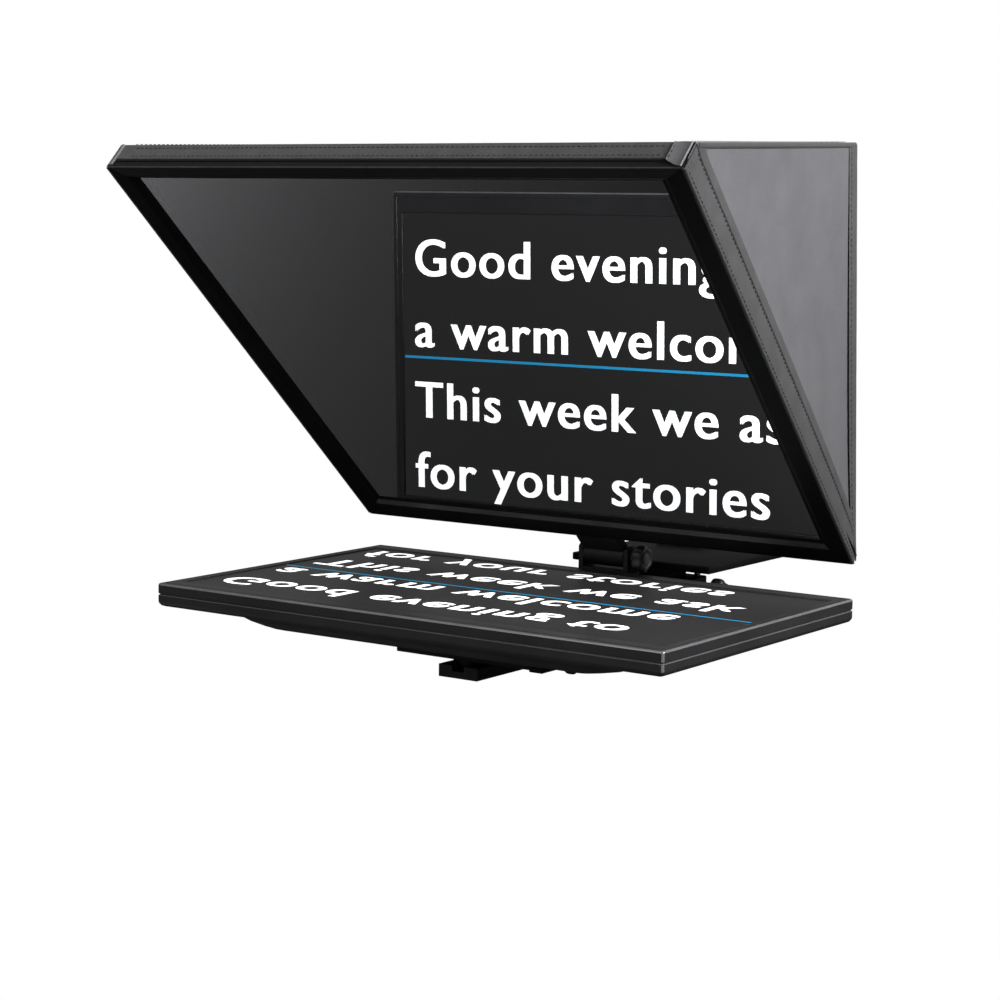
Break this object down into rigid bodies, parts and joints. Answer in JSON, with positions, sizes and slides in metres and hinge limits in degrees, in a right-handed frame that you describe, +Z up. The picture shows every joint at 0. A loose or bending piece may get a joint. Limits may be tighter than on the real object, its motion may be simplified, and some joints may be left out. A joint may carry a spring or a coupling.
{
  "type": "teleprompter",
  "caption": "Face-up monitor under a tilted beam-splitter glass in a trapezoid frame, with a fabric hood, lens sleeve, camera platform and a flat stand rail.",
  "frame": {"origin": "middle of the stand plate's underside, where a light stand or tripod head meets it", "axes": "+Z up, +Y from the presenter towards the camera, +X to the presenter's right; the part is centred on X"},
  "size_m": [0.5614, 0.5808, 0.467],
  "materials": {
    "black_aluminium": "satin black anodised",
    "case_plastic": "fine-grained black",
    "hood_leather": "black coated fabric with grey sheen",
    "beam_glass": "half-mirror coating",
    "screen": "dark screen film",
    "knob_plastic": "moulded black",
    "steel": "bright",
    "socket_plastic": "moulded black"
  },
  "bodies": {
    "base": {"base_rail": "black_aluminium", "rail_cap_front": "knob_plastic", "rail_cap_rear": "knob_plastic", "stand_plate": "black_aluminium", "upright_foot": "black_aluminium", "upright_post": "black_aluminium", "hinge_fork": "black_aluminium", "hinge_pin": "steel", "riser_guide": "black_aluminium"},
    "glass_head": {"frame_rail_left": "black_aluminium", "frame_rail_top": "black_aluminium", "frame_rail_right": "black_aluminium", "frame_rail_bottom": "black_aluminium", "beam_splitter_glass": "beam_glass", "glass_bead_left": "black_aluminium", "glass_bead_top": "black_aluminium", "glass_bead_right": "black_aluminium", "glass_bead_bottom": "black_aluminium", "corner_plate_lower_left": "black_aluminium", "corner_plate_upper_left": "black_aluminium", "corner_plate_upper_right": "black_aluminium", "corner_plate_lower_right": "black_aluminium", "hinge_tongue": "black_aluminium", "hood_left_panel": "hood_leather", "hood_right_panel": "hood_leather", "hood_top_panel": "hood_leather", "hood_rear_panel": "hood_leather", "lens_sleeve": "hood_leather"},
    "tilt_knob": {"tilt_lock_knob": "knob_plastic"},
    "monitor": {"monitor_rear_cover": "case_plastic", "monitor_front_bezel": "case_plastic", "screen_panel": "screen", "connector_panel": "case_plastic", "video_socket": "socket_plastic", "display_socket": "socket_plastic", "power_socket": "socket_plastic", "vesa_plate": "black_aluminium", "standoff_1": "steel", "standoff_2": "steel", "standoff_3": "steel", "standoff_4": "steel", "vesa_screw_1": "steel", "vesa_screw_2": "steel", "vesa_screw_3": "steel", "vesa_screw_4": "steel", "slide_block": "black_aluminium", "rail_jaws": "black_aluminium"},
    "slide_knob": {"monitor_slide_knob": "knob_plastic"},
    "power_button": {"power_button": "knob_plastic"},
    "menu_button": {"menu_button": "knob_plastic"},
    "plus_button": {"plus_button": "knob_plastic"},
    "minus_button": {"minus_button": "knob_plastic"},
    "input_button": {"input_button": "knob_plastic"},
    "riser": {"riser_post": "black_aluminium", "riser_head": "black_aluminium"},
    "riser_knob": {"riser_lock_knob": "knob_plastic"},
    "platform_knob": {"platform_lock_knob": "knob_plastic"},
    "platform": {"camera_platform": "black_aluminium", "camera_plate": "knob_plastic"},
    "screw": {"camera_screw": "steel"}
  },
  "joints": [
    {"name": "frame_tilt", "type": "hinge", "parent": "base", "child": "glass_head", "pos_m": [0, -0.144, 0.094], "axis": [1, 0, 0], "range_deg": [-10, 40]},
    {"name": "tilt_lock_turn", "type": "hinge", "parent": "base", "child": "tilt_knob", "pos_m": [0.034, -0.144, 0.094], "axis": [1, 0, 0], "range_deg": [0, 120]},
    {"name": "monitor_slide", "type": "slide", "parent": "base", "child": "monitor", "axis": [0, -1, 0], "range_m": [0, 0.04]},
    {"name": "slide_lock_turn", "type": "hinge", "parent": "monitor", "child": "slide_knob", "pos_m": [0.036, -0.264, 0.0175], "axis": [1, 0, 0], "range_deg": [0, 180]},
    {"name": "power_button_press", "type": "slide", "parent": "monitor", "child": "power_button", "axis": [1, 0, 0], "range_m": [0, 0.001], "stiffness_N_per_m": 300},
    {"name": "menu_button_press", "type": "slide", "parent": "monitor", "child": "menu_button", "axis": [1, 0, 0], "range_m": [0, 0.001], "stiffness_N_per_m": 300},
    {"name": "plus_button_press", "type": "slide", "parent": "monitor", "child": "plus_button", "axis": [1, 0, 0], "range_m": [0, 0.001], "stiffness_N_per_m": 300},
    {"name": "minus_button_press", "type": "slide", "parent": "monitor", "child": "minus_button", "axis": [1, 0, 0], "range_m": [0, 0.001], "stiffness_N_per_m": 300},
    {"name": "input_button_press", "type": "slide", "parent": "monitor", "child": "input_button", "axis": [1, 0, 0], "range_m": [0, 0.001], "stiffness_N_per_m": 300},
    {"name": "riser_height", "type": "slide", "parent": "base", "child": "riser", "axis": [0, 0, 1], "range_m": [0, 0.025]},
    {"name": "riser_lock_turn", "type": "hinge", "parent": "base", "child": "riser_knob", "pos_m": [0.06, -0.055, 0.054], "axis": [1, 0, 0], "range_deg": [0, 180]},
    {"name": "platform_slide", "type": "slide", "parent": "riser", "child": "platform", "axis": [0, 1, 0], "range_m": [0, 0.04]},
    {"name": "platform_lock_turn", "type": "hinge", "parent": "riser", "child": "platform_knob", "pos_m": [-0.06, -0.065, 0.0777], "axis": [-1, 0, 0], "range_deg": [0, 180]},
    {"name": "camera_screw_turn", "type": "hinge", "parent": "platform", "child": "screw", "pos_m": [0, 0.022, 0.085], "axis": [0, 0, 1], "continuous": true}
  ]
}
